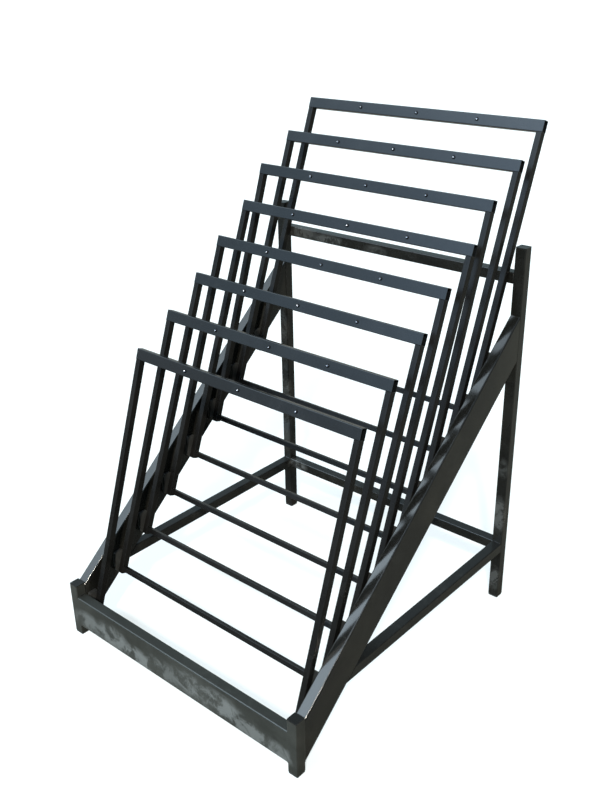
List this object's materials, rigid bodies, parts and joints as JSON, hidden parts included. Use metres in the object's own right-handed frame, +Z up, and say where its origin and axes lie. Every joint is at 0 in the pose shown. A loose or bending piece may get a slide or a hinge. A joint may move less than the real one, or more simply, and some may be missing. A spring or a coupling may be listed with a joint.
{
  "type": "flip-frame display rack",
  "caption": "Sloping tube-steel stand that carries a row of square open frames, each hinged at its foot and leaning back on stops, for showing flat sample boards in steps.",
  "frame": {"origin": "on the floor, midway between the sides and midway between the front face of the front posts and the rearmost point of the last frame", "axes": "+Z up, +X to the stand's right seen from the front, +Y from the front panel to the rear posts"},
  "size_m": [0.7, 0.8572, 1.1285],
  "materials": {
    "stand_paint": "satin",
    "frame_paint": "satin",
    "lug_paint": "satin",
    "pin_steel": "satin",
    "screw_steel": "satin",
    "glide_plastic": "matte"
  },
  "bodies": {
    "stand": {"front_post_left": "stand_paint", "front_post_right": "stand_paint", "rear_post_left": "stand_paint", "rear_post_right": "stand_paint", "post_caps": "stand_paint", "floor_glides": "glide_plastic", "front_panel": "stand_paint", "upper_rear_crossbar": "stand_paint", "lower_rear_crossbar": "stand_paint", "side_rail_left": "stand_paint", "side_rail_right": "stand_paint", "lower_side_bar_left": "stand_paint", "lower_side_bar_right": "stand_paint", "pivot_lugs_left": "lug_paint", "pivot_lugs_right": "lug_paint", "pivot_pins_left": "pin_steel", "pivot_pins_right": "pin_steel", "rear_stops_left": "lug_paint", "rear_stops_right": "lug_paint", "pivot_set_screws": "screw_steel"},
    "frame_1": {"frame_1_top_bar": "frame_paint", "frame_1_left_upright": "frame_paint", "frame_1_right_upright": "frame_paint", "frame_1_bottom_rod": "frame_paint", "frame_1_screws": "screw_steel"},
    "frame_2": {"frame_2_top_bar": "frame_paint", "frame_2_left_upright": "frame_paint", "frame_2_right_upright": "frame_paint", "frame_2_bottom_rod": "frame_paint", "frame_2_screws": "screw_steel"},
    "frame_3": {"frame_3_top_bar": "frame_paint", "frame_3_left_upright": "frame_paint", "frame_3_right_upright": "frame_paint", "frame_3_bottom_rod": "frame_paint", "frame_3_screws": "screw_steel"},
    "frame_4": {"frame_4_top_bar": "frame_paint", "frame_4_left_upright": "frame_paint", "frame_4_right_upright": "frame_paint", "frame_4_bottom_rod": "frame_paint", "frame_4_screws": "screw_steel"},
    "frame_5": {"frame_5_top_bar": "frame_paint", "frame_5_left_upright": "frame_paint", "frame_5_right_upright": "frame_paint", "frame_5_bottom_rod": "frame_paint", "frame_5_screws": "screw_steel"},
    "frame_6": {"frame_6_top_bar": "frame_paint", "frame_6_left_upright": "frame_paint", "frame_6_right_upright": "frame_paint", "frame_6_bottom_rod": "frame_paint", "frame_6_screws": "screw_steel"},
    "frame_7": {"frame_7_top_bar": "frame_paint", "frame_7_left_upright": "frame_paint", "frame_7_right_upright": "frame_paint", "frame_7_bottom_rod": "frame_paint", "frame_7_screws": "screw_steel"},
    "frame_8": {"frame_8_top_bar": "frame_paint", "frame_8_left_upright": "frame_paint", "frame_8_right_upright": "frame_paint", "frame_8_bottom_rod": "frame_paint", "frame_8_screws": "screw_steel"}
  },
  "joints": [
    {"name": "frame_1_hinge", "type": "hinge", "parent": "stand", "child": "frame_1", "pos_m": [0, -0.38442, 0.0633], "axis": [1, 0, 0], "range_deg": [0, 33]},
    {"name": "frame_2_hinge", "type": "hinge", "parent": "stand", "child": "frame_2", "pos_m": [0, -0.3012, 0.13204], "axis": [1, 0, 0], "range_deg": [0, 33]},
    {"name": "frame_3_hinge", "type": "hinge", "parent": "stand", "child": "frame_3", "pos_m": [0, -0.21799, 0.20079], "axis": [1, 0, 0], "range_deg": [0, 33]},
    {"name": "frame_4_hinge", "type": "hinge", "parent": "stand", "child": "frame_4", "pos_m": [0, -0.13477, 0.26953], "axis": [1, 0, 0], "range_deg": [0, 33]},
    {"name": "frame_5_hinge", "type": "hinge", "parent": "stand", "child": "frame_5", "pos_m": [0, -0.05156, 0.33827], "axis": [1, 0, 0], "range_deg": [0, 33]},
    {"name": "frame_6_hinge", "type": "hinge", "parent": "stand", "child": "frame_6", "pos_m": [0, 0.03166, 0.40702], "axis": [1, 0, 0], "range_deg": [0, 33]},
    {"name": "frame_7_hinge", "type": "hinge", "parent": "stand", "child": "frame_7", "pos_m": [0, 0.11487, 0.47576], "axis": [1, 0, 0], "range_deg": [0, 33]},
    {"name": "frame_8_hinge", "type": "hinge", "parent": "stand", "child": "frame_8", "pos_m": [0, 0.19808, 0.5445], "axis": [1, 0, 0], "range_deg": [0, 33]}
  ],
  "couplings": [
    {"joint": "frame_2_hinge", "follows": "frame_1_hinge", "ratio": 1},
    {"joint": "frame_3_hinge", "follows": "frame_1_hinge", "ratio": 1},
    {"joint": "frame_4_hinge", "follows": "frame_1_hinge", "ratio": 1},
    {"joint": "frame_5_hinge", "follows": "frame_1_hinge", "ratio": 1},
    {"joint": "frame_6_hinge", "follows": "frame_1_hinge", "ratio": 1},
    {"joint": "frame_7_hinge", "follows": "frame_1_hinge", "ratio": 1},
    {"joint": "frame_8_hinge", "follows": "frame_1_hinge", "ratio": 1}
  ]
}
